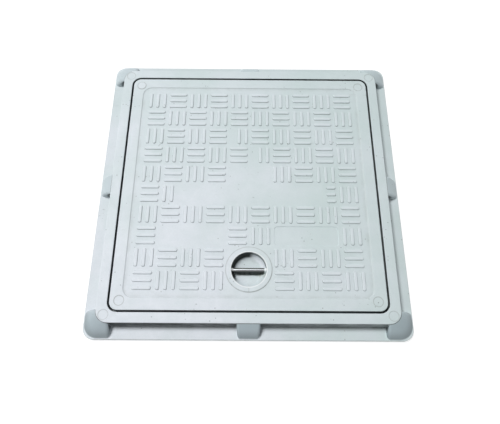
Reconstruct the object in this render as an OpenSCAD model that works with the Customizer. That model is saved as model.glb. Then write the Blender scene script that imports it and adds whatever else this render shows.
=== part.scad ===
// Square moulded composite manhole cover with its frame, a seat gasket and a lifting cup with a steel bar.
// +Z is up. The origin is the centre of the frame's underside, and the lifting cup is towards -Y.

/* [Frame] */
// Side of the square clear opening
clear_opening = 300; // [240:1:420]
// Corner radius of the clear opening
opening_r = 6; // [3:0.5:12]
// Width of the ledge that the cover rests on
seat_w = 20; // [17:0.5:30]
// Thickness of the flange and the ledge
base_t = 4.5; // [3:0.1:8]
// Width of the rim's flat top
rim_w = 12.5; // [9:0.5:25]
// Outer corner radius of the rim
rim_r = 15; // [13:0.5:20]
// Width of the flange outside the rim
flange_w = 17.5; // [13:0.5:30]
// Corner radius of the flange
flange_r = 14; // [6:0.5:18]

/* [Gussets] */
// Width of a mid-side gusset where it meets the rim
gusset_w = 29.5; // [20:0.5:40]
// Width of a mid-side gusset at its foot
gusset_foot_w = 26; // [16:0.5:30]
// Distance from a gusset's foot to the flange's edge
gusset_inset = 2; // [1:0.1:5]
// Distance from a gusset's top to the rim's top
gusset_drop = 1.2; // [0.5:0.1:4]
// How far inside the rim's wall a corner gusset's round part is centred
gusset_shoulder = 10.5; // [8:0.5:14]
// Straight part of a corner gusset beside its round part
gusset_leg = 6; // [2:0.5:20]
// Radius of a gusset's rounded foot corners
gusset_foot_r = 5; // [2:0.5:8]

/* [Cover] */
// Thickness of the cover at its edge
cover_h = 14.5; // [12:0.5:30]
// Gap between the cover and the rim, all round
cover_gap = 2.5; // [1:0.1:4]
// Outer corner radius of the cover
cover_r = 10; // [6:0.5:12]
// Width of the flat border round the sunk field
border_w = 14.8; // [10:0.1:25]
// Depth of the field below the border
field_depth = 1; // [0.5:0.1:2]
// Corner radius of the field
field_r = 12.5; // [6:0.5:20]
// Thickness of the plate under the field
skin_t = 6; // [4:0.5:10]
// Width of the solid edge under the border
edge_w = 16; // [15:0.5:22]
// Thickness of a rib on the underside
rib_t = 4; // [3:0.5:8]
// Widest space between two ribs
rib_space = 36; // [25:1:38]

/* [Tread] */
// Width of a tread bar
bar_w = 5; // [3:0.5:7]
// Distance between the bars of one group of three
bar_pitch = 9.7; // [8:0.1:14]
// Height of a tread bar above the field
bar_h = 1.5; // [1:0.1:3]
// Narrowest margin between the tread and the field's edge
tread_margin = 8; // [4:0.5:20]
// Length of the rating panel
panel_l = 81.5; // [50:0.5:84]
// Width of the rating panel
panel_w = 26; // [15:0.5:28]
// Depth of the rating panel below the field
panel_depth = 0.8; // [0.3:0.1:2]

/* [Lifting cup and bar] */
// Inner diameter of the cup's mouth
cup_d = 44; // [36:1:56]
// Wall thickness of the cup
cup_t = 2; // [1.5:0.1:3]
// Width of the cup's collar outside its wall
collar_w = 4.5; // [3:0.5:8]
// Thickness of the collar on the field
collar_t = 0.9; // [0.5:0.1:1.5]
// Diameter of the steel bar
rod_d = 5.5; // [4:0.5:8]
// Depth of the bar's top below the collar's top
rod_depth = 2.6; // [1:0.1:4]
// Length of the bar that is held in the cover at each end
rod_grip = 5; // [3:0.5:8]

/* [Gasket] */
// Thickness of the gasket
gasket_t = 1.5; // [1:0.1:4]
// Width of the gasket's strip
gasket_w = 13; // [8:0.5:14]

/* [Hidden] */
$fn = 64;

eps = 0.01;             // how far a cutting shape runs past a face
fit_gap = 0.05;         // clearance all round a piece that is held in another
gasket_edge = 3;        // distance of the gasket from the ledge's outer edge
mark_d = 12;            // diameter of the round ejector marks
mark_depth = 0.3;       // depth of a sunk ejector mark
mark_inset = 11.5;      // distance of a mark's centre from the cover's edge
boss_wall = 3;          // wall of the boss beyond the bar's ends
panel_r = 4.5;          // corner radius of the rating panel
cup_floor_r = 9;        // radius of the curve between the cup's wall and its floor
cup_draft = 1.2;        // how much the cup narrows from its mouth to its floor, on the radius
gusset_bow = 40;        // degrees that a gusset's curved face turns through
curve_steps = 8;        // straight steps in a curved edge
cup_land = 1;           // narrowest plain ring between the collar and a tread bar
rim_mark_inset = 9.5;   // distance of a mark's centre on the frame from the rim's wall

// Sides of the nested squares, from the inside out
pocket_side = clear_opening + 2 * seat_w;
cover_side = pocket_side - 2 * cover_gap;
rim_side = pocket_side + 2 * rim_w;
flange_side = rim_side + 2 * flange_w;
field_side = cover_side - 2 * border_w;

// Levels, from the ground up
cover_z = base_t + gasket_t;
rim_z = cover_z + cover_h;
field_z = rim_z - field_depth;
skin_z = field_z - skin_t;
collar_z = field_z + collar_t;
rod_z = collar_z - rod_depth - rod_d / 2;
gusset_z = rim_z - gusset_drop;

// Tread: square cells, each with three bars, in an even number of rows
cell = 3 * bar_pitch;
bar_l = 2 * bar_pitch + bar_w;
bar_gap = bar_pitch - bar_w;
cells = 2 * floor((field_side - 2 * tread_margin + bar_gap) / cell / 2);
cell_xy = [for (i = [0 : cells - 1]) (i - (cells - 1) / 2) * cell];

// The cup sits where the four middle cells of the two front rows meet
cup_y = -(cells / 2 - 1) * cell;
cup_or = cup_d / 2 + cup_t;
collar_r = cup_or + collar_w;
boss_r = cup_or + rod_grip + boss_wall;

// Lands with no tread, as [centre x, centre y, length, width]. The last one is the sunk rating panel.
land_w = cell - bar_gap;
panel = [2.5 * cell, -2.5 * cell, panel_l, panel_w];
lands = [
    [0, cell / 2, 2 * cell - bar_gap, land_w],
    [0, -cell / 2, 6.63 * cell, land_w],
    [-2.5 * cell, -2.5 * cell, 3 * cell - bar_gap, land_w],
    [-cell / 2 - bar_pitch, 2.5 * cell, bar_w, land_w],
    [cell / 2 - bar_pitch, 1.5 * cell, bar_w, land_w],
    panel
];

// Underside ribs
rib_inner = cover_side - 2 * edge_w;
rib_cells = ceil((rib_inner + rib_t) / (rib_space + rib_t));
rib_pitch = (rib_inner + rib_t) / rib_cells;

// Centre of a corner gusset's round part, from the part's centre, and how far a gusset runs out from the rim
gusset_c = rim_side / 2 - gusset_shoulder;
gusset_run = flange_w - gusset_inset;

// A bar or a land is a rectangle on the field: these test and trim bars, as [x from, x to, y from, y to]
function hits(b, z) =
    b[0] < z[0] + z[2] / 2 && b[1] > z[0] - z[2] / 2 && b[2] < z[1] + z[3] / 2 && b[3] > z[1] - z[3] / 2;
function trimmed(b) = let (m = (b[0] + b[1]) / 2) [
    max([b[0], for (z = lands) if (hits(b, z) && z[0] <= m) z[0] + z[2] / 2 + bar_gap]),
    min([b[1], for (z = lands) if (hits(b, z) && z[0] > m) z[0] - z[2] / 2 - bar_gap]),
    b[2], b[3]];
function from_cup(b) = norm([max(0, b[0], -b[1]), max(0, b[2] - cup_y, cup_y - b[3])]);
function whole(b) = let (l = b[1] - b[0], w = b[3] - b[2]) min(l, w) > bar_w - eps && max(l, w) > 2 * bar_w;

// Every tread bar. Upright and lying cells alternate, starting with upright at the back left.
bars = [
    for (i = [0 : cells - 1], j = [0 : cells - 1], k = [-1 : 1])
        let (
            upright = (i + j) % 2 == 1,
            x = cell_xy[i] + (upright ? k * bar_pitch : 0),
            y = cell_xy[j] + (upright ? 0 : k * bar_pitch),
            l = upright ? bar_w : bar_l,
            w = upright ? bar_l : bar_w,
            b = trimmed([x - l / 2, x + l / 2, y - w / 2, y + w / 2])
        )
        if (whole(b) && from_cup(b) > collar_r + cup_land) b
];

// Points of an arc about centre, counter-clockwise from one angle to another
function arc(centre, r, from, to) =
    [for (i = [0 : curve_steps])
        let (a = from + (to - from) * i / curve_steps) centre + r * [cos(a), sin(a)]];

// A bowed line from [0, drop] down to [run, 0] that turns through gusset_bow degrees
function bowed(run, drop) =
    let (
        chord = norm([run, drop]),
        r = chord / 2 / sin(gusset_bow / 2),
        first = 90 - atan(drop / run) + gusset_bow / 2,
        centre = [0, drop] - r * [cos(first), sin(first)]
    )
    [for (i = [0 : curve_steps])
        let (a = first - gusset_bow * i / curve_steps) centre + r * [cos(a), sin(a)]];

module rounded_rect(l, w, r) {
    square([l - 2 * r, w], center = true);
    square([l, w - 2 * r], center = true);
    for (x = [-1, 1], y = [-1, 1])
        translate([x * (l / 2 - r), y * (w / 2 - r)]) circle(r);
}

// A square plate with round corners between two levels
module slab(side, r, from, to) {
    translate([0, 0, from]) linear_extrude(to - from) rounded_rect(side, side, r);
}

// Ejector marks at the four corners, sunk into a face at level z. Each corner is [x sign, y sign].
module marks(at, z, corners) {
    for (c = corners)
        translate([c[0] * at, c[1] * at, z - mark_depth]) cylinder(d = mark_d, h = mark_depth + eps);
}

// Side view of a gusset: x runs outward from the rim's wall, y is the height above the ground
module gusset_side(inner) {
    root = base_t / 2;
    translate([0, root])
        polygon(concat(
            [[-inner, 0], [-inner, gusset_z - root]],
            [for (p = bowed(gusset_run, gusset_z - base_t)) p + [0, base_t - root]],
            [[gusset_run, 0]]));
}

// A straight stretch of gusset along Y, from -length / 2 to length / 2, starting at the rim's wall
module gusset_bar(length, inner) {
    rotate([90, 0, 0]) linear_extrude(length, center = true) gusset_side(inner);
}

// Mid-side gusset on the +X side, narrower at its foot, with rounded foot corners
module mid_gusset() {
    taper = atan((gusset_w - gusset_foot_w) / 2 / gusset_run);
    corner = [gusset_run - gusset_foot_r, gusset_foot_w / 2 - gusset_foot_r];
    side = arc(corner, gusset_foot_r, 90 - taper, 0);
    far_side = [for (i = [curve_steps : -1 : 0]) [side[i][0], -side[i][1]]];
    translate([rim_side / 2, 0, 0]) intersection() {
        gusset_bar(gusset_w, rim_w / 2);
        linear_extrude(rim_z)
            polygon(concat(
                [[-rim_w / 2, -gusset_w / 2], [-rim_w / 2, gusset_w / 2], [0, gusset_w / 2]],
                side, far_side, [[0, -gusset_w / 2]]));
    }
}

// One straight end of a corner gusset, beside the round part and along Y
module gusset_end() {
    length = gusset_leg + eps;
    corner = [gusset_run - gusset_foot_r, gusset_foot_r - length];
    translate([rim_side / 2, 0, 0]) intersection() {
        translate([0, -length / 2, 0]) gusset_bar(length, rim_w / 2);
        linear_extrude(rim_z)
            polygon(concat(
                [[-rim_w / 2, eps], [-rim_w / 2, -length]],
                arc(corner, gusset_foot_r, -90, 0),
                [[gusset_run, eps]]));
    }
}

// Corner gusset at the +X +Y corner: a quarter turn round the rim's corner with two straight ends
module corner_gusset() {
    translate([gusset_c, gusset_c, 0])
        rotate_extrude(angle = 90) translate([gusset_shoulder, 0]) gusset_side(gusset_shoulder);
    translate([0, gusset_c, 0]) gusset_end();
    mirror([1, -1, 0]) translate([0, gusset_c, 0]) gusset_end();
}

module frame() {
    color("gainsboro") difference() {
        union() {
            slab(flange_side, flange_r, 0, base_t);
            slab(rim_side, rim_r, 0, rim_z);
            for (turn = [0 : 90 : 270])
                rotate(turn) {
                    mid_gusset();
                    corner_gusset();
                }
        }
        slab(pocket_side, cover_r + cover_gap, base_t, rim_z + eps);
        slab(clear_opening, opening_r, -eps, base_t + eps);
        marks(rim_side / 2 - rim_mark_inset, rim_z, [[-1, -1], [1, -1], [1, 1], [-1, 1]]);
    }
}

// One tread bar with round ends, along its longer side
module tread_bar(b) {
    l = b[1] - b[0];
    w = b[3] - b[2];
    reach = abs(l - w) / 2;
    translate([(b[0] + b[1]) / 2, (b[2] + b[3]) / 2, field_z - eps])
        rotate(l > w ? 0 : 90)
            linear_extrude(bar_h + eps) {
                square([2 * reach, bar_w], center = true);
                for (s = [-1, 1]) translate([s * reach, 0]) circle(d = bar_w);
            }
}

// Ribs across the hollow underside, both ways
module underside_ribs() {
    for (turn = [0, 90], i = [1 : rib_cells - 1])
        rotate(turn)
            translate([i * rib_pitch - rib_t - rib_inner / 2, -rib_inner / 2 - eps, cover_z])
                cube([rib_t, rib_inner + 2 * eps, skin_z - cover_z + eps]);
}

// The cut that sinks the rating panel into the field
module rating_panel() {
    translate([panel[0], panel[1], field_z - panel_depth])
        linear_extrude(panel_depth + eps) rounded_rect(panel_l, panel_w, panel_r);
}

// The bar, or the hole for it when gap is its clearance
module rod(gap) {
    length = 2 * (cup_or + rod_grip + gap);
    translate([-length / 2, cup_y, rod_z]) rotate([0, 90, 0]) cylinder(d = rod_d + 2 * gap, h = length);
}

module cover() {
    at = cover_side / 2 - mark_inset;
    color("whitesmoke") difference() {
        union() {
            difference() {
                slab(cover_side, cover_r, cover_z, rim_z);
                slab(field_side, field_r, field_z, rim_z + eps);
                slab(rib_inner, cover_r, cover_z - eps, skin_z);
            }
            underside_ribs();
            translate([0, cup_y, cover_z]) cylinder(r = boss_r, h = skin_z - cover_z + eps);
            for (b = bars) tread_bar(b);
            translate([-at, at, rim_z - eps]) cylinder(d = mark_d, h = bar_h - field_depth + eps);
        }
        rating_panel();
        translate([0, cup_y, cover_z - eps]) cylinder(r = cup_or + fit_gap, h = cover_h);
        rod(fit_gap);
        marks(at, rim_z, [[-1, -1], [1, -1], [1, 1]]);
    }
}

module lifting_cup() {
    mouth = cup_d / 2;
    floor_z = cover_z + cup_t;
    bend = arc([mouth - cup_draft - cup_floor_r, floor_z + cup_floor_r], cup_floor_r, 0, -90);
    color("whitesmoke") difference() {
        translate([0, cup_y, 0]) rotate_extrude()
            polygon(concat(
                [[0, cover_z], [cup_or, cover_z], [cup_or, field_z], [collar_r, field_z], [collar_r, collar_z],
                    [mouth, collar_z]],
                bend,
                [[0, floor_z]]));
        rod(fit_gap);
    }
}

module lifting_bar() {
    color("silver") rod(0);
}

module seat_gasket() {
    side = pocket_side - 2 * gasket_edge;
    color("dimgray") difference() {
        slab(side, cover_r, base_t, cover_z);
        slab(side - 2 * gasket_w, opening_r, base_t - eps, cover_z + eps);
    }
}

frame();
cover();
lifting_cup();
lifting_bar();
seat_gasket();
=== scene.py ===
import math

import bmesh
import bpy
from mathutils import Matrix, Vector


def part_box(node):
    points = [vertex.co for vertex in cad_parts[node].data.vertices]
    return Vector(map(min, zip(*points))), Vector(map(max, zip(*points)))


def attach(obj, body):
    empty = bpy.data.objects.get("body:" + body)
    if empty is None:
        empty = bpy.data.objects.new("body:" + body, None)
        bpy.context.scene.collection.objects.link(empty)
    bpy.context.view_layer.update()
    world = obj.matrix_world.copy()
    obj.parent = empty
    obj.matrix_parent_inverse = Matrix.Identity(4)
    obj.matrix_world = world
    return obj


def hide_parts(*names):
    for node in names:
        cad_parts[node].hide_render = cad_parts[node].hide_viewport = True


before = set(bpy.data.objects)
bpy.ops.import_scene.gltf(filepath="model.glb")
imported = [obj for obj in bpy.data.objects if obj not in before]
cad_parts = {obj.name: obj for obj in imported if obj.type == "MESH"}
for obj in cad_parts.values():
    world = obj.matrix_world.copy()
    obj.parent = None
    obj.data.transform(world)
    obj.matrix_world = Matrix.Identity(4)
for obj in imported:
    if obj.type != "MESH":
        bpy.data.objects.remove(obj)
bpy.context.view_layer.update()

# ---- The frame -------------------------------------------------------------------------------
# One compression moulding in light grey glass-fibre composite: a flat flange, a ledge that carries
# the cover, a rim, and eight gussets that key the frame into the paving round it.

mm = 0.001
frame_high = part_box("frame")[1]
cover_low, cover_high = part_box("cover")
gasket_low, gasket_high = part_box("seat_gasket")

rim_top = frame_high.z
base_top = gasket_low.z
flange_half = frame_high.x
rim_w = 12.5 * mm
seat_w = 20 * mm
cover_gap = 2.5 * mm
pocket_half = cover_high.x + cover_gap
rim_half = pocket_half + rim_w
opening_half = pocket_half - seat_w
flange_corner, rim_corner, pocket_corner, opening_corner = 14 * mm, 15 * mm, 12.5 * mm, 6 * mm
rim_draft = 0.9 * mm

gusset_top = rim_top - 1.2 * mm
gusset_run = flange_half - 0.8 * mm - rim_half
gusset_root = rim_w / 2
gusset_bow = math.radians(40)
corner_shoulder = 10.5 * mm
corner_leg = 6 * mm
corner_square = 10 * mm
mid_w, mid_foot_w = 29.5 * mm, 26 * mm
corner_gusset_round, mid_gusset_round = 4.2 * mm, 3.6 * mm

merge_under = 0.001 * mm

mark_r = 6 * mm
mark_depth = 0.3 * mm
mid_wall = 172 * mm


def ring(bm, half, corner, z, steps=8):
    """The edges of a level square with round corners."""
    corners = bmesh.ops.create_grid(bm, x_segments=1, y_segments=1, size=half)["verts"]
    bmesh.ops.translate(bm, vec=(0, 0, z), verts=corners)
    outline = bmesh.ops.bevel(
        bm, geom=corners, offset=corner, segments=steps, profile=0.5, affect="VERTICES", material=-1
    )["verts"]
    face = outline[0].link_faces[0]
    edges = list(face.edges)
    bmesh.ops.delete(bm, geom=[face], context="FACES_ONLY")
    return edges


def join_rings(bm, rings):
    """Bridge each ring to the next one, which stands well above it while they are joined."""
    lift = Vector((0, 0, 0.1))
    for one, other in zip(rings, rings[1:]):
        verts = list({v for e in other for v in e.verts})
        bmesh.ops.translate(bm, vec=lift, verts=verts)
        bmesh.ops.bridge_loops(bm, edges=one + other)
        bmesh.ops.translate(bm, vec=-lift, verts=verts)


def soften(bm, edges, radius, segments=3):
    """Round the edges that a mould leaves round."""
    bmesh.ops.bevel(
        bm, geom=edges, offset=radius, segments=segments, profile=0.5, affect="EDGES", material=-1,
        loop_slide=True,
    )


def moulded(name, bm):
    """An object from a closed mesh, with its faces turned outward."""
    bmesh.ops.recalc_face_normals(bm, faces=bm.faces)
    if bm.calc_volume(signed=True) < 0:
        bmesh.ops.reverse_faces(bm, faces=bm.faces)
    mesh = bpy.data.meshes.new(name)
    bm.to_mesh(mesh)
    bm.free()
    piece = bpy.data.objects.new(name, mesh)
    bpy.context.scene.collection.objects.link(piece)
    return piece


def combine(piece, other, operation):
    """Join another closed shape to a piece, or cut it out, and merge points that fall together."""
    step = piece.modifiers.new(operation, "BOOLEAN")
    step.operation = operation
    step.object = other
    step.solver = "EXACT"
    bpy.context.view_layer.update()
    joined = piece.evaluated_get(bpy.context.evaluated_depsgraph_get())
    mesh = bpy.data.meshes.new_from_object(joined)
    bm = bmesh.new()
    bm.from_mesh(mesh)
    bmesh.ops.remove_doubles(bm, verts=bm.verts, dist=merge_under)
    bmesh.ops.dissolve_degenerate(bm, edges=bm.edges, dist=merge_under)
    bm.to_mesh(mesh)
    bm.free()
    piece.modifiers.clear()
    piece.data = mesh
    bpy.data.objects.remove(other)


def smooth(piece, sharp=38):
    """Soft shading over the rounded edges, with flat faces kept flat."""
    piece.data.shade_smooth()
    piece.data.set_sharp_from_angle(angle=math.radians(sharp))
    level = piece.modifiers.new("flat faces", "WEIGHTED_NORMAL")
    level.keep_sharp = True
    level.weight = 90


def bowed(run, drop):
    """A gusset's back: a line that falls by drop over run and bends as it falls."""
    radius = math.hypot(run, drop) / 2 / math.sin(gusset_bow / 2)
    first = math.pi / 2 - math.atan2(drop, run) + gusset_bow / 2
    steps = 8
    turns = [first - gusset_bow * i / steps for i in range(steps + 1)]
    return [
        (radius * (math.cos(a) - math.cos(first)), drop + radius * (math.sin(a) - math.sin(first)))
        for a in turns
    ]


def gusset_side(bm, y, root):
    """The side view of a gusset against the rim's +X wall."""
    foot = base_top / 2
    back = [(rim_half + x, y, base_top + z) for x, z in bowed(gusset_run, gusset_top - base_top)]
    outline = [(rim_half - root, y, foot), (rim_half - root, y, gusset_top), *back,
               (rim_half + gusset_run, y, foot)]
    return bm.faces.new([bm.verts.new(p) for p in outline])


def pull(bm, face, along):
    """Extrude one face and return the face at the new end."""
    made = bmesh.ops.extrude_face_region(bm, geom=[face])["geom"]
    bmesh.ops.translate(bm, vec=along, verts=[g for g in made if isinstance(g, bmesh.types.BMVert)])
    return next(g for g in made if isinstance(g, bmesh.types.BMFace))


def back_edges(face):
    """The edges that run down the back of a gusset's end."""
    return [
        e for e in face.edges
        if any(v.co.z > base_top * 0.6 for v in e.verts)
        and any(max(abs(v.co.x), abs(v.co.y)) > rim_half - 1 * mm for v in e.verts)
    ]


def corner_gusset(bm):
    """A leg along each side, joined by a quarter turn whose foot is pushed out toward the corner."""
    centre = rim_half - corner_shoulder
    start = gusset_side(bm, centre - corner_leg, corner_shoulder)
    turn = pull(bm, start, (0, corner_leg, 0))
    swept = bmesh.ops.spin(
        bm, geom=[turn, *turn.edges, *turn.verts], cent=(centre, centre, 0), axis=(0, 0, 1),
        angle=math.pi / 2, steps=10, use_merge=False, use_duplicate=False,
    )["geom_last"]
    end = pull(bm, next(g for g in swept if isinstance(g, bmesh.types.BMFace)), (-corner_leg, 0, 0))
    inner = [f for f in bm.faces if all(len(e.link_faces) > 2 for e in f.edges)]
    bmesh.ops.delete(bm, geom=inner, context="FACES_ONLY")
    for v in {v for f in bm.faces for v in f.verts if min(v.co.x, v.co.y) > centre - 0.1 * mm}:
        arm = v.co.xy - Vector((centre, centre))
        if arm.length > corner_shoulder:
            lower = (arm.length - corner_shoulder) / gusset_run * corner_square
            v.co.x += lower * (1 - arm.x / arm.length)
            v.co.y += lower * (1 - arm.y / arm.length)
    soften(bm, back_edges(start) + back_edges(end), corner_gusset_round, 5)


def mid_gusset(bm):
    """A short gusset in the middle of the +X side, narrower at its foot."""
    start = gusset_side(bm, -mid_w / 2, gusset_root)
    end = pull(bm, start, (0, mid_w, 0))
    for v in {v for f in (start, end) for v in f.verts}:
        v.co.y *= 1 - (v.co.x - rim_half) / gusset_run * (1 - mid_foot_w / mid_w)
    soften(bm, back_edges(start) + back_edges(end), mid_gusset_round, 5)


gussets = bmesh.new()
mid_gusset(gussets)
corner_gusset(gussets)
first_pair = list(gussets.verts) + list(gussets.edges) + list(gussets.faces)
for quarter in (1, 2, 3):
    copy = bmesh.ops.duplicate(gussets, geom=first_pair)["geom"]
    bmesh.ops.rotate(
        gussets, cent=(0, 0, 0), matrix=Matrix.Rotation(quarter * math.pi / 2, 3, "Z"),
        verts=[g for g in copy if isinstance(g, bmesh.types.BMVert)],
    )

body = bmesh.new()
rings = [
    ring(body, flange_half, flange_corner, 0),
    ring(body, flange_half, flange_corner, base_top),
    ring(body, rim_half + rim_draft, rim_corner + rim_draft, base_top),
    ring(body, rim_half, rim_corner, rim_top),
    ring(body, pocket_half, pocket_corner, rim_top),
    ring(body, pocket_half, pocket_corner, base_top),
    ring(body, opening_half, opening_corner, base_top),
    ring(body, opening_half, opening_corner, 0),
]
join_rings(body, rings + rings[:1])
frame_rounds = (0.4, 0.9, 0.8, 1.0, 0.7, 1.0, 0.8, 0.5)
for edges, radius in zip(rings, frame_rounds):
    soften(body, edges, radius * mm)


def sunk_disc(bm, x, y, top, radius, depth):
    """A shallow round cut with a sloping edge."""
    over = 1 * mm
    made = bmesh.ops.create_cone(
        bm, cap_ends=True, segments=40, radius1=radius - depth, radius2=radius + over, depth=depth + over
    )["verts"]
    bmesh.ops.translate(bm, vec=(x, y, top - depth + (depth + over) / 2), verts=made)


marks = bmesh.new()
mark_at = rim_half - 9.5 * mm
for x, y in ((-1, -1), (1, -1), (1, 1), (-1, 1)):
    sunk_disc(marks, x * mark_at, y * mark_at, rim_top, mark_r, mark_depth)

frame_piece = moulded("frame_moulding", body)
combine(frame_piece, moulded("gussets", gussets), "UNION")
combine(frame_piece, moulded("frame_marks", marks), "DIFFERENCE")
smooth(frame_piece)


class Value:
    """A shader value. Sums and products of it are Math nodes."""

    def __init__(self, finish, socket):
        self.finish, self.socket = finish, socket

    def maths(self, operation, *others):
        sockets = dict(enumerate((self, *others)))
        return self.finish.node("ShaderNodeMath", {"operation": operation}, sockets)

    def __add__(self, other):
        return self.maths("ADD", other)

    __radd__ = __add__

    def __mul__(self, other):
        return self.maths("MULTIPLY", other)

    __rmul__ = __mul__

    def __sub__(self, other):
        return self.maths("SUBTRACT", other)

    def __rsub__(self, other):
        return (self * -1) + other

    def __gt__(self, other):
        return self.maths("GREATER_THAN", other)

    def __lt__(self, other):
        return self.maths("LESS_THAN", other)

    def __abs__(self):
        return self.maths("ABSOLUTE")

    def between(self, low, high):
        """0 below low, 1 above high, and a soft step from one to the other."""
        return self.finish.node(
            "ShaderNodeMapRange", {"interpolation_type": "SMOOTHSTEP"},
            {"Value": self, "From Min": low, "From Max": high, "To Min": 0, "To Max": 1},
        )

    def below(self, low, high):
        """1 below low, 0 above high, and a soft step from one to the other."""
        return 1 - self.between(low, high)

    def near(self, core, fade):
        """1 within core of zero, and 0 past fade, on both sides."""
        return abs(self).below(core, fade)

    def clamped(self):
        return self.maths("MAXIMUM", 0).maths("MINIMUM", 1)


class Finish:
    """One material, built from its nodes."""

    def __init__(self, name):
        self.material = bpy.data.materials.new(name)
        self.material.use_nodes = True
        self.tree = self.material.node_tree
        self.shader = next(n for n in self.tree.nodes if n.type == "BSDF_PRINCIPLED")
        self.place = self.node("ShaderNodeTexCoord", out="Object")
        parts = self.node("ShaderNodeSeparateXYZ", {}, {0: self.place}, out=None)
        self.x, self.y, self.z = (Value(self, parts.outputs[i]) for i in range(3))

    def node(self, kind, settings=None, sockets=None, out=0):
        """A node, with its settings and then its sockets' values or links. Gives one output of it."""
        made = self.tree.nodes.new(kind)
        for name, setting in (settings or {}).items():
            setattr(made, name, setting)
        for name, value in (sockets or {}).items():
            self.set(made.inputs[name], value)
        return made if out is None else Value(self, made.outputs[out])

    def set(self, socket, value):
        if isinstance(value, Value):
            self.tree.links.new(value.socket, socket)
        elif socket.type == "RGBA":
            socket.default_value = (*value, 1)
        else:
            socket.default_value = value

    def noise(self, scale, detail=3, roughness=0.55, stretch=None, distortion=0):
        """Cloudy noise, finer for a larger scale. A stretch below 1 draws it out along that axis."""
        place = self.place
        if stretch:
            place = self.node("ShaderNodeMapping", {}, {"Vector": place, "Scale": stretch})
        sockets = {
            "Vector": place, "Scale": scale, "Detail": detail, "Roughness": roughness,
            "Distortion": distortion,
        }
        return self.node("ShaderNodeTexNoise", {}, sockets)

    def mix(self, factor, one, other):
        """The first colour where the factor is 0, the other where it is 1."""
        return self.node("ShaderNodeMix", {"data_type": "RGBA"}, {0: factor, 6: one, 7: other}, out=2)

    def length(self, u, v):
        flat = self.node("ShaderNodeCombineXYZ", {}, {0: u, 1: v})
        return self.node("ShaderNodeVectorMath", {"operation": "LENGTH"}, {0: flat}, out="Value")

    def outside(self, half, corner):
        """How far a point lies outside a round-cornered square."""
        over = [(abs(v) - (half - corner)).maths("MAXIMUM", 0) for v in (self.x, self.y)]
        return self.length(*over) - corner

    def wear(self, name, value):
        """Set or link one of the shader's own sockets."""
        self.set(self.shader.inputs[name], value)

    def round_marks(self, at, radius):
        """A thin line round a mark in each of the four corners."""
        return (self.length(abs(self.x) - at, abs(self.y) - at) - radius).near(0.2 * mm, 0.8 * mm)

    def bump(self, height, depth, strength=1):
        sockets = {"Height": height, "Distance": depth, "Strength": strength}
        self.wear("Normal", self.node("ShaderNodeBump", {}, sockets))


composite_lilac = (0.735, 0.780, 0.835)
composite_green = (0.600, 0.700, 0.700)
composite_deep = (0.520, 0.600, 0.625)
gusset_shade_grey = (0.31, 0.385, 0.42)
pit_dark = (0.14, 0.16, 0.16)
soil_and_shade_dark = (0.035, 0.042, 0.043)
soil_and_shade_grey = (0.30, 0.32, 0.30)


class Composite(Finish):
    """Moulded glass-fibre composite: cloudy grey, paler at the front left and darker toward the right and
    back as painted light, a faint grain, and a few small pits.
    """

    def __init__(self, name, shift):
        super().__init__(name)
        cloud = self.noise(13 + shift, 3, 0.55)
        # Painted light: pale lilac at the front left running to a darker green grey at the right and
        # back, with cloud noise for real changes of tone
        tone_and_light_falloff = (self.x * 1.7 + self.y * 1.2 + cloud * 2.0 - 0.50).clamped()
        self.mottle = self.noise(75, 3, 0.6, distortion=0.6)
        self.grain = self.noise(1100, 2, 0.7)
        self.colour = self.mix(tone_and_light_falloff, composite_lilac, composite_green)
        # Painted shade: darker toward the back
        self.stain((self.y * 1.3 + 0.24).clamped() * 0.55, composite_deep)
        self.stain((self.mottle * 1.6 - 0.55).clamped() * 0.30, composite_deep)
        self.stain((self.noise(420, 2, 0.6) * 2.4 - 0.9).clamped() * 0.16, composite_deep)
        pits = self.node("ShaderNodeTexVoronoi", {}, {"Vector": self.place, "Scale": 190}, out="Distance")
        self.pit = pits.below(0.06, 0.20) * self.noise(60 + shift, 1).between(0.58, 0.62)
        self.stain(self.pit * 0.55, pit_dark)
        scuff = self.noise(34, 5, 0.7, stretch=(1, 3.2, 1)).between(0.62, 0.80)
        self.stain(scuff * 0.22, soil_and_shade_grey)
        self.height = self.grain * 0.6 + self.mottle * 0.6 - self.pit

    def stain(self, mask, colour):
        """Lay a colour over the composite where the mask is above 0."""
        self.colour = self.mix(mask, self.colour, colour)

    def lay(self, piece):
        """Finish the material and put it on a piece."""
        self.wear("Base Color", self.colour)
        self.wear("Roughness", self.mottle * 0.22 + 0.50)
        self.wear("Specular IOR Level", 0.35)
        self.bump(self.height, 0.12 * mm, 0.55)
        piece.data.materials.clear()
        piece.data.materials.append(self.material)


finish = Composite("frame_composite", 0)
patchy = finish.noise(55, 4, 0.65).between(0.30, 0.72)
out = finish.outside(rim_half, rim_corner) - (rim_top - finish.z) * (rim_draft / (rim_top - base_top))

# Painted shadow of the rim on the flange, along the rim's foot
foot = finish.z.below(base_top + 0.5 * mm, base_top + 3.5 * mm) * out.below(0.3 * mm, 4 * mm)
finish.stain(foot * (patchy * 0.3 + 0.2), soil_and_shade_grey)

# The gussets are painted a duller grey than the flange, and darker still as painted shade in front and
# toward the foot
gusset_shade = 0.78 - finish.y.between(-rim_half + 2 * mm, -rim_half + 30 * mm) * 0.36
rib = out.between(0.3 * mm, 0.8 * mm) * finish.z.between(base_top + 0.6 * mm, base_top + 2 * mm)
finish.stain(rib * gusset_shade, gusset_shade_grey)
rib_foot = rib * finish.z.below(base_top + 3 * mm, base_top + 12 * mm)
finish.stain(rib_foot * (gusset_shade - 0.4) * 0.8, soil_and_shade_dark)

# Painted shade on the rim's outer wall, darker on the left and lighter only near the wall's foot
wall = out.below(0.2 * mm, 0.8 * mm) * (out > -0.8 * mm)
wall = wall * finish.z.below(rim_top - 1.1 * mm, rim_top - 0.5 * mm)
lean = finish.x * (abs(finish.x) < mid_wall) * 0.9
under_rim_shade = finish.z.between(base_top + 1 * mm, base_top + 6 * mm) * 0.30 + 0.70
finish.stain(wall * (patchy * 0.20 + 0.80 - lean) * under_rim_shade, soil_and_shade_dark)
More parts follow.
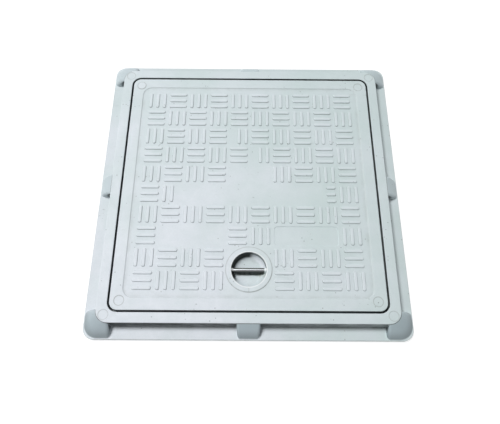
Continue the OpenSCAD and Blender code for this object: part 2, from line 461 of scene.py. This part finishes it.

# Soil packed in the joint round the cover, thickest near the top, which also darkens the gap as painted
# shade
joint = finish.outside(pocket_half, pocket_corner).below(0.2 * mm, 0.6 * mm)
joint = joint * finish.z.below(rim_top - 0.9 * mm, rim_top - 0.4 * mm)
joint = joint * finish.z.between(base_top * 0.3, base_top * 0.6)
packed = finish.z.between(rim_top - 10 * mm, rim_top - 4 * mm)
finish.stain(joint * (patchy * 0.24 + 0.28 + packed * 0.46), soil_and_shade_dark)

# Painted shadow in the nooks beside the gussets
nook = out.between(0.6 * mm, 1.2 * mm) * out.below(3 * mm, 9 * mm)
nook = nook * finish.z.between(base_top + 0.4 * mm, base_top + 1.5 * mm)
beside = (gusset_top - finish.z - out * 0.95).between(0.8 * mm, 2 * mm)
finish.stain(nook * beside * 0.85, soil_and_shade_dark)

# A darker band along the flange's outer edge, and a faint line round each ejector mark
edge = finish.outside(flange_half, flange_corner).between(-0.9 * mm, -0.3 * mm)
finish.stain(edge * (patchy * 0.2 + 0.35), soil_and_shade_grey)
on_rim = finish.z.between(rim_top - 0.6 * mm, rim_top - 0.4 * mm)
finish.stain(finish.round_marks(mark_at, mark_r) * on_rim * 0.35, soil_and_shade_grey)
finish.lay(frame_piece)
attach(frame_piece, "frame")
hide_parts("frame")

# ---- The seat gasket -------------------------------------------------------------------------
# A flat ring of black elastomer glued on the ledge, so that the cover doesn't rattle. Two low beads
# run round it and are pressed flat where the cover rests.

gasket_half = gasket_high.x
gasket_bottom, gasket_top = gasket_low.z, gasket_high.z
gasket_corner = 10 * mm
bead_drop = 0.5 * mm

# The ring's outline, as millimetres in from its outer side, and height
gasket_w = 13
levels = [
    (0, gasket_bottom), (0, gasket_top - bead_drop), (2.4, gasket_top - bead_drop), (3.2, gasket_top),
    (4.8, gasket_top), (5.6, gasket_top - bead_drop), (7.4, gasket_top - bead_drop), (8.2, gasket_top),
    (9.8, gasket_top), (10.6, gasket_top - bead_drop), (gasket_w, gasket_top - bead_drop),
    (gasket_w, gasket_bottom),
]
bm = bmesh.new()
rings = []
for inset, z in levels:
    corner = gasket_corner - (gasket_corner - opening_corner) * inset / gasket_w
    rings.append(ring(bm, gasket_half - inset * mm, corner, z, 6))
join_rings(bm, rings + rings[:1])
for edges in rings[1:-1]:
    soften(bm, edges, 0.2 * mm, 2)
gasket_piece = moulded("seat_gasket_ring", bm)
smooth(gasket_piece, 60)

finish = Finish("gasket_rubber")
rubber_dark, rubber_bloom, dust_pale = (0.018, 0.019, 0.020), (0.045, 0.046, 0.048), (0.20, 0.19, 0.17)
bloom = finish.noise(45, 4, 0.6)
fine = finish.noise(1600, 2, 0.6)
dust = finish.noise(160, 5, 0.7).between(0.50, 0.75)
colour = finish.mix(bloom, rubber_dark, rubber_bloom)
finish.wear("Base Color", finish.mix(dust * 0.30, colour, dust_pale))
finish.wear("Roughness", bloom * 0.2 + 0.62)
finish.bump(fine + bloom * 0.5, 0.08 * mm, 0.6)
gasket_piece.data.materials.append(finish.material)
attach(gasket_piece, "frame")
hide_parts("seat_gasket")

# ---- The cover -------------------------------------------------------------------------------
# One compression moulding in the same composite: a border, a sunk field with raised tread bars in
# groups of three, a sunk panel, and a hollow underside with crossed ribs and a boss for the cup.

cup_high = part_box("lifting_cup")[1]
rod_low, rod_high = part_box("lifting_bar")
cup_y = (rod_low.y + rod_high.y) / 2

cover_bottom = cover_low.z
cover_half = cover_high.x
cover_corner = 10 * mm
border_w = 14.8 * mm
field_half = cover_half - border_w
field_corner = 12.5 * mm
field_slope = 0.5 * mm
field_z = rim_top - 1 * mm
skin_z = field_z - 6 * mm
edge_w = 16 * mm
rib_t = 4 * mm
rib_cells = 8
rib_draft = 0.5 * mm
boss_r = 32 * mm
cup_wall_r = 24 * mm
collar_r = 28.5 * mm

bar_w = 5 * mm
bar_pitch = 9.7 * mm
bar_h = 1.5 * mm
bar_bite = 0.05 * mm
bar_steps = ((0.15, 0.25), (0.30, 0.75), (0.35, 0.40), (0.45, 0.15))
cell = 3 * bar_pitch
bar_l = 2 * bar_pitch + bar_w
bar_gap = bar_pitch - bar_w
cells = 10
panel_l, panel_w, panel_corner = 81.5 * mm, 26 * mm, 4.5 * mm

body = bmesh.new()
rings = [
    ring(body, cover_half, cover_corner, cover_bottom),
    ring(body, cover_half, cover_corner, rim_top),
    ring(body, field_half + field_slope, field_corner + field_slope, rim_top),
    ring(body, field_half - field_slope, field_corner - field_slope, field_z),
]
join_rings(body, rings)
bmesh.ops.holes_fill(body, edges=rings[3], sides=0)
rib_half = cover_half - edge_w + rib_t / 2
grid = bmesh.ops.create_grid(body, x_segments=rib_cells, y_segments=rib_cells, size=rib_half)["verts"]
bmesh.ops.translate(body, vec=(0, 0, cover_bottom), verts=grid)
hollows = list(dict.fromkeys(f for v in grid for f in v.link_faces))
rim_edges = [e for f in hollows for e in f.edges if e.is_boundary]
bmesh.ops.triangle_fill(body, use_beauty=True, edges=rim_edges + rings[0])
bmesh.ops.inset_individual(body, faces=hollows, thickness=rib_t / 2, depth=0)
bmesh.ops.inset_individual(body, faces=hollows, thickness=rib_draft, depth=skin_z - cover_bottom)
cover_rounds = (0.6, 0.9, 0.5, 0.5)
for edges, radius in zip(rings, cover_rounds):
    soften(body, edges, radius * mm)
cover_piece = moulded("cover_moulding", body)

# Lands with no tread, as centre x, centre y, length and width
land_w = cell - bar_gap
panel = (2.5 * cell, -2.5 * cell, panel_l, panel_w)
lands = [
    (0, cell / 2, 2 * cell - bar_gap, land_w),
    (0, -cell / 2, 6.63 * cell, land_w),
    (-2.5 * cell, -2.5 * cell, 3 * cell - bar_gap, land_w),
    (-cell / 2 - bar_pitch, 2.5 * cell, bar_w, land_w),
    (cell / 2 - bar_pitch, 1.5 * cell, bar_w, land_w),
    panel,
]


def trimmed(west, east, south, north):
    """The bar's west and east ends, cut back from the lands that it meets."""
    middle = (west + east) / 2
    for x, y, length, width in lands:
        meets = abs(middle - x) < (length + east - west) / 2 and abs((south + north) / 2 - y) < width / 2
        if meets and x <= middle:
            west = max(west, x + length / 2 + bar_gap)
        elif meets:
            east = min(east, x - length / 2 - bar_gap)
    return west, east


def tread_bar(bm, west, east, south, north):
    """One bar: a round-ended mound with a soft foot."""
    length, width = east - west, north - south
    reach = abs(length - width) / 2
    sides = 14
    outline = bmesh.ops.create_circle(
        bm, cap_ends=True, segments=sides, radius=bar_w / 2 / math.cos(math.pi / sides),
        matrix=Matrix.Rotation(math.pi / sides, 4, "Z"),
    )["verts"]
    for v in outline:
        v.co.x += math.copysign(reach, v.co.x)
    if width > length:
        bmesh.ops.rotate(bm, verts=outline, cent=(0, 0, 0), matrix=Matrix.Rotation(math.pi / 2, 3, "Z"))
    top = outline[0].link_faces[0]
    centre = ((west + east) / 2, (south + north) / 2, field_z - bar_bite)
    bmesh.ops.translate(bm, verts=outline, vec=centre)
    for inward, up in bar_steps:
        bmesh.ops.inset_region(
            bm, faces=[top], thickness=inward * mm, depth=up * mm, use_even_offset=True, use_boundary=True
        )


tread = bmesh.new()
middle = (cells - 1) / 2
for column in range(cells):
    for row in range(cells):
        for k in (-1, 0, 1):
            upright = (column + row) % 2 == 1
            x = (column - middle) * cell + (k * bar_pitch if upright else 0)
            y = (row - middle) * cell + (0 if upright else k * bar_pitch)
            long, wide = (bar_w, bar_l) if upright else (bar_l, bar_w)
            south, north = y - wide / 2, y + wide / 2
            west, east = trimmed(x - long / 2, x + long / 2, south, north)
            to_cup = math.hypot(max(0, west, -east), max(0, south - cup_y, cup_y - north))
            whole = east - west > (0.99 if upright else 2) * bar_w
            if whole and to_cup > collar_r + 1 * mm:
                tread_bar(tread, west, east, south, north)
bmesh.ops.holes_fill(tread, edges=[e for e in tread.edges if e.is_boundary], sides=0)

boss = bmesh.new()
boss_top = skin_z + 1 * mm
made = bmesh.ops.create_cone(
    boss, cap_ends=True, segments=72, radius1=boss_r, radius2=boss_r - 0.4 * mm,
    depth=boss_top - cover_bottom,
)["verts"]
bmesh.ops.translate(boss, verts=made, vec=(0, cup_y, (boss_top + cover_bottom) / 2))

# The fourth corner's mark stands proud as a low button
mark_at = cover_half - 11.5 * mm
button_h, button_depth = 0.5 * mm, 1.4 * mm
button = bmesh.new()
made = bmesh.ops.create_cone(
    button, cap_ends=True, segments=40, radius1=mark_r + 0.5 * mm, radius2=mark_r - 0.3 * mm,
    depth=button_depth,
)["verts"]
bmesh.ops.translate(button, verts=made, vec=(-mark_at, mark_at, rim_top + button_h - button_depth / 2))

cuts = bmesh.new()
made = bmesh.ops.create_cone(
    cuts, cap_ends=True, segments=72, radius1=cup_wall_r, radius2=cup_wall_r,
    depth=2 * (rim_top - cover_bottom),
)["verts"]
bmesh.ops.translate(cuts, verts=made, vec=(0, cup_y, (rim_top + cover_bottom) / 2))
for x, y in ((-1, -1), (1, -1), (1, 1)):
    sunk_disc(cuts, x * mark_at, y * mark_at, rim_top, mark_r, mark_depth)
corners = bmesh.ops.create_grid(cuts, x_segments=1, y_segments=1, size=0.5)["verts"]
panel_slope = 0.35 * mm
cutter_l, cutter_w = panel_l + 2 * panel_slope, panel_w + 2 * panel_slope
bmesh.ops.scale(cuts, vec=(cutter_l, cutter_w, 1), verts=corners)
bmesh.ops.translate(cuts, vec=(panel[0], panel[1], field_z + 1 * mm), verts=corners)
outline = bmesh.ops.bevel(
    cuts, geom=corners, offset=panel_corner + panel_slope, segments=5, profile=0.5,
    affect="VERTICES", material=-1,
)["verts"]
panel_floor = outline[0].link_faces[0]

# The panel's cutter goes down from 1 mm above the field, in steps inward and down in millimetres
for inward, down in ((0, 1.0), (0.25, 0.12), (0.2, 0.50), (0.25, 0.18)):
    bmesh.ops.inset_region(
        cuts, faces=[panel_floor], thickness=inward * mm, depth=-down * mm, use_even_offset=True,
        use_boundary=True,
    )
bmesh.ops.holes_fill(cuts, edges=[e for e in cuts.edges if e.is_boundary], sides=0)

combine(cover_piece, moulded("boss", boss), "UNION")
combine(cover_piece, moulded("button", button), "UNION")
combine(cover_piece, moulded("cuts", cuts), "DIFFERENCE")
combine(cover_piece, moulded("tread", tread), "UNION")
smooth(cover_piece)

finish = Composite("cover_composite", 1.5)
patchy = finish.noise(60, 4, 0.65).between(0.30, 0.72)
in_field = finish.outside(field_half, field_corner)

# Painted shade round the foot of each tread bar, and bare composite on the bars' worn tops
foot = finish.z.between(field_z + 0.01 * mm, field_z + 0.12 * mm)
foot = foot * finish.z.below(field_z + 0.5 * mm, field_z + 1.2 * mm) * (in_field < -2 * mm)
finish.stain(foot * (patchy * 0.25 + 0.45), soil_and_shade_grey)
finish.stain(finish.z.between(field_z + 1.3 * mm, field_z + bar_h) * 0.30, composite_lilac)

# Painted shade in the crease along the edge of the field and round the foot of the cup's collar, and
# patchy soil on the field near its edge
finish.stain(in_field.near(0.2 * mm, 0.8 * mm) * 0.22, soil_and_shade_grey)
collar = (finish.length(finish.x, finish.y - cup_y) - collar_r - 0.2 * mm).near(0.3 * mm, 1.0 * mm)
finish.stain(collar * 0.45, soil_and_shade_grey)
finish.stain(in_field.between(-6 * mm, -1 * mm) * (in_field < -0.5 * mm) * patchy * 0.22, soil_and_shade_grey)

# A faint line round each ejector mark, and a pit in one of them
on_top = finish.z.between(rim_top - 0.6 * mm, rim_top - 0.4 * mm)
finish.stain(finish.round_marks(mark_at, mark_r) * on_top * 0.5, soil_and_shade_grey)
pit = finish.length(finish.x - mark_at, finish.y + mark_at + 1 * mm).below(0.3 * mm, 1.0 * mm)
finish.stain(pit * 0.6, soil_and_shade_dark)

# Soil on the cover's side, packed near the top, which also darkens the gap as painted shade, and dust
# underneath
side = finish.outside(cover_half, cover_corner).between(-0.6 * mm, -0.3 * mm)
side = side * finish.z.below(rim_top - 1.1 * mm, rim_top - 0.5 * mm)
packed = finish.z.between(rim_top - 8 * mm, rim_top - 3 * mm)
finish.stain(side * (patchy * 0.24 + 0.28 + packed * 0.46), soil_and_shade_dark)
finish.stain(finish.z.below(skin_z + 0.5 * mm, skin_z + 1 * mm) * patchy * 0.25, soil_and_shade_grey)
finish.lay(cover_piece)
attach(cover_piece, "cover")
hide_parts("cover")

# ---- The lifting cup -------------------------------------------------------------------------
# A round dish moulded into the cover near its front edge. Its flat collar lies on the field, and
# resin has run into a small fillet where each end of the steel bar goes through its wall.

collar_top = cup_high.z
cup_floor = cover_bottom + 2 * mm
mouth_r = 22 * mm
cup_draft = 1.2 * mm
floor_bend = 9 * mm
drip_z = 12.4 * mm
rod_r = (rod_high.z - rod_low.z) / 2
rod_z = (rod_high.z + rod_low.z) / 2

bm = bmesh.new()
profile = [
    (0, cup_floor), (mouth_r - cup_draft, cup_floor), (mouth_r, collar_top), (collar_r, collar_top),
    (collar_r, field_z), (cup_wall_r, field_z), (cup_wall_r, cover_bottom), (0, cover_bottom),
]
points = [bm.verts.new((r, 0, z)) for r, z in profile]
line = [bm.edges.new(pair) for pair in zip(points, points[1:])]
bmesh.ops.spin(
    bm, geom=points + line, cent=(0, 0, 0), axis=(0, 0, 1), angle=2 * math.pi, steps=64, use_merge=True
)
bmesh.ops.remove_doubles(bm, verts=bm.verts, dist=0.01 * mm)


def turned_edges(bm, r, z):
    """The edges of a turned shape that run round it at one radius and height."""
    return [
        e for e in bm.edges
        if all(abs(v.co.xy.length - r) < 0.02 * mm and abs(v.co.z - z) < 0.02 * mm for v in e.verts)
    ]


soften(bm, turned_edges(bm, mouth_r - cup_draft, cup_floor), floor_bend, 8)
soften(bm, turned_edges(bm, mouth_r, collar_top), 0.7 * mm, 4)
soften(bm, turned_edges(bm, collar_r, collar_top), 0.4 * mm, 3)
bmesh.ops.translate(bm, vec=(0, cup_y, 0), verts=bm.verts)
cup_piece = moulded("lifting_cup_dish", bm)

# A fillet of resin at each end of the bar
for side in (-1, 1):
    fillet = bmesh.new()
    place = Matrix.Translation((side * (mouth_r - 1 * mm), cup_y, rod_z))
    bmesh.ops.create_cone(
        fillet, cap_ends=True, segments=24, radius1=rod_r + 0.4 * mm, radius2=rod_r + 1.8 * mm,
        depth=3.4 * mm, matrix=place @ Matrix.Rotation(side * math.pi / 2, 4, "Y"),
    )
    combine(cup_piece, moulded("fillet", fillet), "UNION")

# Two dribbles of resin below the left one, as place, length and lean, and the mould's seam
for x, y, long, lean in ((-18.9, -4.4, 2.6, 35), (-17.6, -5.6, 2.2, -35)):
    dribble_and_rod_shadow = bmesh.new()
    place = Matrix.Translation((x * mm, cup_y + y * mm, drip_z))
    place = place @ Matrix.Rotation(math.radians(lean), 4, "Z")
    bmesh.ops.create_icosphere(
        dribble_and_rod_shadow, subdivisions=2, radius=0.75 * mm, matrix=place @ Matrix.Diagonal((1, long, 1.8, 1))
    )
    combine(cup_piece, moulded("dribble_and_rod_shadow", dribble_and_rod_shadow), "UNION")
seam = bmesh.new()
place = Matrix.Translation((0, cup_y - 26 * mm, collar_top - 0.2 * mm))
bmesh.ops.create_cube(seam, size=1, matrix=place @ Matrix.Diagonal((0.6 * mm, 4 * mm, 0.6 * mm, 1)))
combine(cup_piece, moulded("seam", seam), "UNION")
smooth(cup_piece)

finish = Composite("cup_composite", 3)
silt_dark, silt_olive = (0.26, 0.27, 0.24), (0.27, 0.29, 0.14)
cup_shadow_dark, rod_shadow_dark = (0.012, 0.017, 0.014), (0.045, 0.055, 0.035)
highlight_pale, lip_highlight, painted_light_pale = (0.90, 0.93, 0.94), (0.88, 0.92, 0.93), (0.86, 0.90, 0.96)
y = finish.y - cup_y
from_axis = finish.length(finish.x, y)
inside = from_axis.below(mouth_r + 0.1 * mm, mouth_r + 0.3 * mm) * (finish.z > cup_floor - 0.5 * mm)
cup_patches = finish.noise(170, 5, 0.65).between(0.36, 0.68)

# Silt on the floor, and an olive patch near the bar's right end
deep = finish.z.below(cup_floor + 1 * mm, cup_floor + 6 * mm)
floor_edge = from_axis.between(9 * mm, 14 * mm) * from_axis.below(18.5 * mm, 20 * mm)
finish.stain(deep * inside * cup_patches * (floor_edge * 0.10 + 0.05), silt_dark)
patch = finish.length(finish.x - 17 * mm, y + 4 * mm).below(1 * mm, 6 * mm)
finish.stain(patch * cup_patches * 0.8, silt_olive)

# Painted shadow up the wall at the back left, painted light on the floor at the back right, and painted
# shade in a line below the lip
inner = inside * finish.z.below(collar_top - 0.9 * mm, collar_top - 0.3 * mm)
shade = (finish.x * -0.84 + y * 0.54).between(4 * mm, 11 * mm)
shade = shade * finish.z.between(cup_floor + 1.1 * mm, cup_floor + 3.4 * mm)
finish.stain(shade * inner * 0.97, cup_shadow_dark)
# Painted shade: a dark line on the wall just below the lip, toward the back
brim = from_axis.between(mouth_r - 1.1 * mm, mouth_r - 0.6 * mm) * y.between(-14 * mm, 4 * mm)
# Painted light: the floor at the back right is painted paler
painted_floor_light = finish.x.between(0, 12 * mm) * y.between(0, 6 * mm)
painted_floor_light = painted_floor_light * finish.z.between(cup_floor + 0.3 * mm, cup_floor + 2 * mm)
finish.stain(painted_floor_light * inside * (1 - brim) * 0.7, painted_light_pale)
finish.stain(brim * inner * 0.6, soil_and_shade_dark)

# A painted highlight on the resin fillets at the bar's ends, and a painted shadow of the bar on the floor
# in front of it
fillet_highlight = finish.z.between(rod_z, rod_z + rod_r * 0.8) * y.near(0.8 * mm, 2.2 * mm)
finish.stain(fillet_highlight * inside * 0.65, highlight_pale)
# Painted shadow of the bar, patchy, across the floor just in front of it
dribble_and_rod_shadow = (y + 2.5 * mm).near(1.3 * mm, 3.4 * mm) * finish.x.near(17.5 * mm, 20 * mm)
finish.stain(dribble_and_rod_shadow * inside * (cup_patches * 0.25 + 0.6), rod_shadow_dark)

# A painted highlight on the lip, painted shade round the collar's edge, and the seam
finish.stain((from_axis - mouth_r - 0.7 * mm).near(0.1 * mm, 1 * mm) * 0.8, lip_highlight)
finish.stain(from_axis.between(collar_r - 0.9 * mm, collar_r - 0.2 * mm) * 0.30, soil_and_shade_grey)
finish.stain(finish.x.near(0.2 * mm, 0.9 * mm) * (y < -23.5 * mm) * 0.25, soil_and_shade_grey)
finish.height = finish.height + cup_patches * deep
finish.lay(cup_piece)
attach(cup_piece, "cover")
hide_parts("lifting_cup")

# ---- The lifting bar -------------------------------------------------------------------------
# A drawn steel rod laid in the mould across the cup, so that its ends are held in the cover.
# Hooks have scratched it bright along its top, and elsewhere it is painted near black as shade.

rod_length = rod_high.x - rod_low.x
rod_turn = math.radians(12)
rod_round = 0.6 * mm
steel_dull, steel_bright = (0.34, 0.36, 0.37), (0.66, 0.70, 0.72)
rust_brown, rod_shade_dark = (0.10, 0.085, 0.06), (0.022, 0.026, 0.022)

bm = bmesh.new()
lie = Matrix.Translation((0, cup_y, rod_z)) @ Matrix.Rotation(math.pi / 2, 4, "Y")
bmesh.ops.create_cone(
    bm, cap_ends=True, segments=32, radius1=rod_r, radius2=rod_r, depth=rod_length, matrix=lie
)
rod_ends = [e for e in bm.edges if all(abs(v.co.x) > rod_length * 0.49 for v in e.verts)]
soften(bm, rod_ends, rod_round, 3)
rod_piece = moulded("lifting_bar_rod", bm)
smooth(rod_piece)

finish = Finish("bar_steel")
drawn = finish.noise(420, 4, 0.6, stretch=(0.05, 1, 1))
rust = finish.noise(240, 5, 0.7).between(0.50, 0.74)
top = finish.z.between(rod_z + rod_r * 0.45, rod_z + rod_r * 0.95)
colour = finish.mix(drawn, steel_dull, steel_bright)
colour = finish.mix(rust * (1 - top) * 0.75, colour, rust_brown)

# Painted shade: all but a scratched band a little in front of the bar's top is painted near black and
# less metallic
rise = (finish.z - rod_z) * math.cos(rod_turn) - (finish.y - cup_y) * math.sin(rod_turn)
rod_shade = rise.below(rod_r * 0.80, rod_r * 0.93)
finish.wear("Base Color", finish.mix(rod_shade * 0.92, colour, rod_shade_dark))
finish.wear("Metallic", 1 - rod_shade * 0.85)
finish.wear("Roughness", drawn * 0.25 + 0.26 + rod_shade * 0.35)
finish.bump(drawn + rust * 0.5, 0.06 * mm, 0.5)
rod_piece.data.materials.append(finish.material)
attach(rod_piece, "cover")
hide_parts("lifting_bar")

# ---- The studio ------------------------------------------------------------------------------
# A plain pale floor that curves up far away into a low wall, and one big soft lamp, high up and
# behind on the left, under a weak sky.

cove_r, cove_h, cove_bend = 4.0, 1.6, 0.8
floor_drop = 0.2 * mm
floor_grey, floor_glow, floor_light = (0.30, 0.30, 0.30), (0.99, 0.995, 1), 0.80
lamp_white, sky_white, sky_light = (1.0, 0.995, 0.99), (0.96, 0.98, 1.0, 1), 0.06
bm = bmesh.new()
disc = bmesh.ops.create_circle(bm, cap_ends=True, segments=96, radius=cove_r)["verts"]
bmesh.ops.translate(bm, vec=(0, 0, -floor_drop), verts=disc)
foot = [e for e in bm.edges if e.is_boundary]
wall = bmesh.ops.extrude_edge_only(bm, edges=foot)["geom"]
wall_top = [g for g in wall if isinstance(g, bmesh.types.BMVert)]
bmesh.ops.translate(bm, vec=(0, 0, cove_h), verts=wall_top)
soften(bm, foot, cove_bend, 12)
floor = moulded("studio_floor", bm)
floor.data.shade_smooth()
finish = Finish("floor_white")
finish.wear("Base Color", floor_grey)
finish.wear("Roughness", 0.9)
finish.wear("Specular IOR Level", 0.1)
finish.wear("Emission Color", floor_glow)
finish.wear("Emission Strength", floor_light)
floor.data.materials.append(finish.material)


def lamp(name, direction, distance, size, power, colour):
    """A round soft lamp that shines on the origin from one direction."""
    light = bpy.data.lights.new(name, "AREA")
    light.shape, light.size, light.energy, light.color = "DISK", size, power, colour
    holder = bpy.data.objects.new(name, light)
    toward = Vector(direction).normalized()
    holder.location = toward * distance
    holder.rotation_euler = toward.to_track_quat("Z", "Y").to_euler()
    bpy.context.scene.collection.objects.link(holder)


lamp("key", (-0.34, 0.24, 1.0), distance=3.0, size=1.15, power=80, colour=lamp_white)
sky = bpy.data.worlds.new("sky")
sky.use_nodes = True
backdrop = sky.node_tree.nodes["Background"].inputs
backdrop["Color"].default_value = sky_white
backdrop["Strength"].default_value = sky_light
bpy.context.scene.world = sky
bpy.context.scene.view_settings.view_transform = "Standard"

# The camera stands in front and looks down steeply
elevation, azimuth, roll = math.radians(67.65), math.radians(-0.57), math.radians(0.92)
camera_away = 0.6232
aim = Vector((1.0 * mm, -40.4 * mm, rim_top))
lens = bpy.data.cameras.new("camera")
lens.sensor_width, lens.lens = 36, 34.73
camera = bpy.data.objects.new("camera", lens)
turn = Matrix.Rotation(azimuth, 4, "Z") @ Matrix.Rotation(math.pi / 2 - elevation, 4, "X")
turn = turn @ Matrix.Translation((0, 0, camera_away)) @ Matrix.Rotation(roll, 4, "Z")
camera.matrix_world = Matrix.Translation(aim) @ turn
bpy.context.scene.collection.objects.link(camera)
bpy.context.scene.camera = camera
